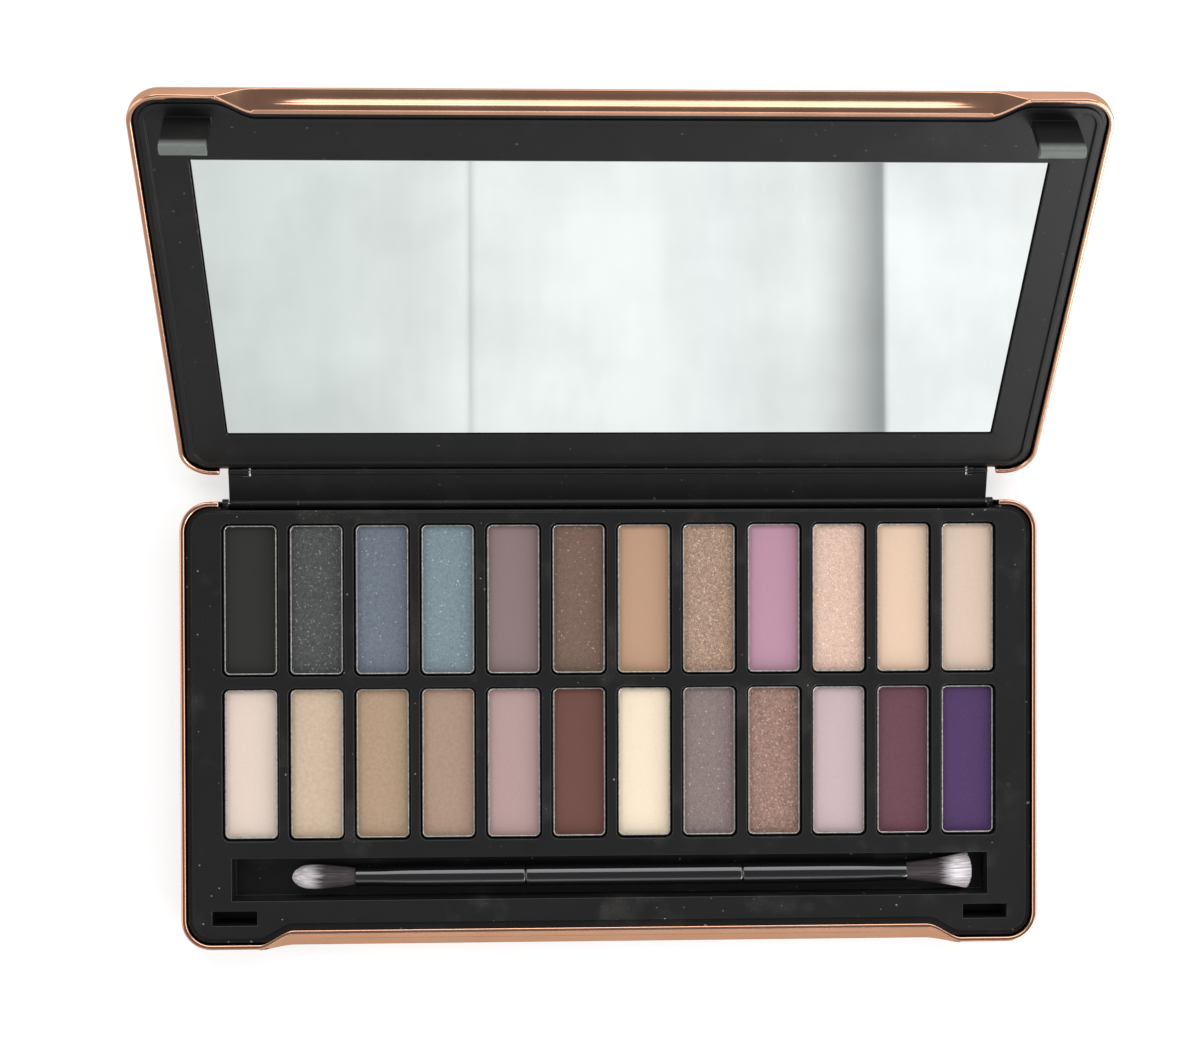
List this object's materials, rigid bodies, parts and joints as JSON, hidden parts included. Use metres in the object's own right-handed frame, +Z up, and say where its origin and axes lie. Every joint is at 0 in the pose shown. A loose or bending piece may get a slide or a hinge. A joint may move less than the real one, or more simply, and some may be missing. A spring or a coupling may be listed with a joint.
{
  "type": "eyeshadow palette",
  "caption": "Wide hinged tin eyeshadow palette with a mirror in the lid, two rows of pressed powder pans and a double-ended brush in a trough.",
  "frame": {"origin": "middle of the flat face that the base rests on", "axes": "+X to the right as the user sits, +Y away from the user towards the hinge, +Z up"},
  "size_m": [0.2, 0.1873, 0.08],
  "materials": {
    "rose_gold": "satin",
    "black_plastic": "satin",
    "black_lacquer": "gloss",
    "pan_metal": "satin",
    "pin_steel": "satin",
    "mirror": "gloss",
    "foam_pad": "matte",
    "bristle": "matte",
    "powder_back_01": "matte",
    "powder_back_02": "matte",
    "powder_back_03": "matte",
    "powder_back_04": "matte",
    "powder_back_05": "matte",
    "powder_back_06": "matte",
    "powder_back_07": "matte",
    "powder_back_08": "matte",
    "powder_back_09": "matte",
    "powder_back_10": "matte",
    "powder_back_11": "matte",
    "powder_back_12": "matte",
    "powder_front_01": "matte",
    "powder_front_02": "matte",
    "powder_front_03": "matte",
    "powder_front_04": "matte",
    "powder_front_05": "matte",
    "powder_front_06": "matte",
    "powder_front_07": "matte",
    "powder_front_08": "matte",
    "powder_front_09": "matte",
    "powder_front_10": "matte",
    "powder_front_11": "matte",
    "powder_front_12": "matte"
  },
  "bodies": {
    "base": {"tin_base": "rose_gold", "base_tray": "black_plastic", "pans_back_row": "pan_metal", "pans_front_row": "pan_metal", "base_hinge_pins": "pin_steel", "powder_back_01": "powder_back_01", "powder_back_02": "powder_back_02", "powder_back_03": "powder_back_03", "powder_back_04": "powder_back_04", "powder_back_05": "powder_back_05", "powder_back_06": "powder_back_06", "powder_back_07": "powder_back_07", "powder_back_08": "powder_back_08", "powder_back_09": "powder_back_09", "powder_back_10": "powder_back_10", "powder_back_11": "powder_back_11", "powder_back_12": "powder_back_12", "powder_front_01": "powder_front_01", "powder_front_02": "powder_front_02", "powder_front_03": "powder_front_03", "powder_front_04": "powder_front_04", "powder_front_05": "powder_front_05", "powder_front_06": "powder_front_06", "powder_front_07": "powder_front_07", "powder_front_08": "powder_front_08", "powder_front_09": "powder_front_09", "powder_front_10": "powder_front_10", "powder_front_11": "powder_front_11", "powder_front_12": "powder_front_12"},
    "spine": {"hinge_spine": "black_plastic", "lid_hinge_pins": "pin_steel"},
    "lid": {"tin_lid": "rose_gold", "mirror_frame": "black_plastic", "mirror_glass": "mirror", "mirror_pad": "foam_pad"},
    "brush": {"brush_handle": "black_lacquer", "ferrule_domed": "black_lacquer", "ferrule_flat": "black_lacquer", "tuft_domed": "bristle", "tuft_flat": "bristle"}
  },
  "joints": [
    {"name": "base_hinge", "type": "hinge", "parent": "base", "child": "spine", "pos_m": [0, 0.0514, 0.0032], "axis": [1, 0, 0], "range_deg": [0, 75]},
    {"name": "lid_hinge", "type": "hinge", "parent": "spine", "child": "lid", "pos_m": [0, 0.05903, 0.00524], "axis": [1, 0, 0], "range_deg": [0, 61]},
    {"name": "brush_lift", "type": "slide", "parent": "base", "child": "brush", "axis": [0, 0, 1], "range_m": [0, 0.0027]}
  ]
}
